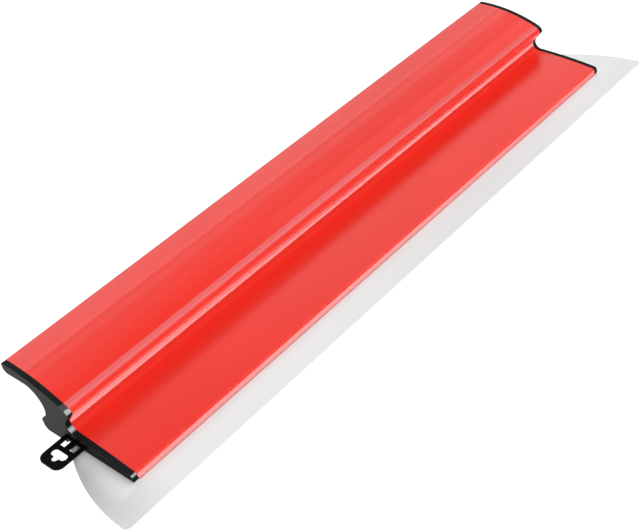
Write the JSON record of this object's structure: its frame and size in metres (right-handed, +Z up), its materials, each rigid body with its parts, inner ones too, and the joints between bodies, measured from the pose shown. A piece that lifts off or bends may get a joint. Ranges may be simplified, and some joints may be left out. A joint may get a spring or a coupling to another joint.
{
  "type": "skimming blade",
  "caption": "Wide skimming blade: flexible steel blade with bowed ends clamped in a long winged aluminium grip profile, with end caps and a hang tab.",
  "frame": {"origin": "bottom centre of the whole tool's box, on the surface the tool lies on", "axes": "+X along the tool towards the hang tab, +Y towards the blade's working edge, +Z up, away from the blade"},
  "size_m": [0.45, 0.1062, 0.036],
  "materials": {
    "red_coating": "satin red coating on extruded aluminium",
    "blade_steel": "satin spring steel",
    "bare_aluminium": "bare extruded",
    "zinc_steel": "bright zinc plate",
    "cap_plastic": "fine moulded texture, dark grey",
    "tab_plastic": "fine moulded texture, black"
  },
  "bodies": {
    "root": {"handle_profile": "red_coating", "blade": "blade_steel", "clamp_strip": "bare_aluminium", "clamp_screws": "zinc_steel", "hanger_end_cap": "cap_plastic", "plain_end_cap": "cap_plastic", "hang_tab": "tab_plastic"}
  },
  "joints": []
}
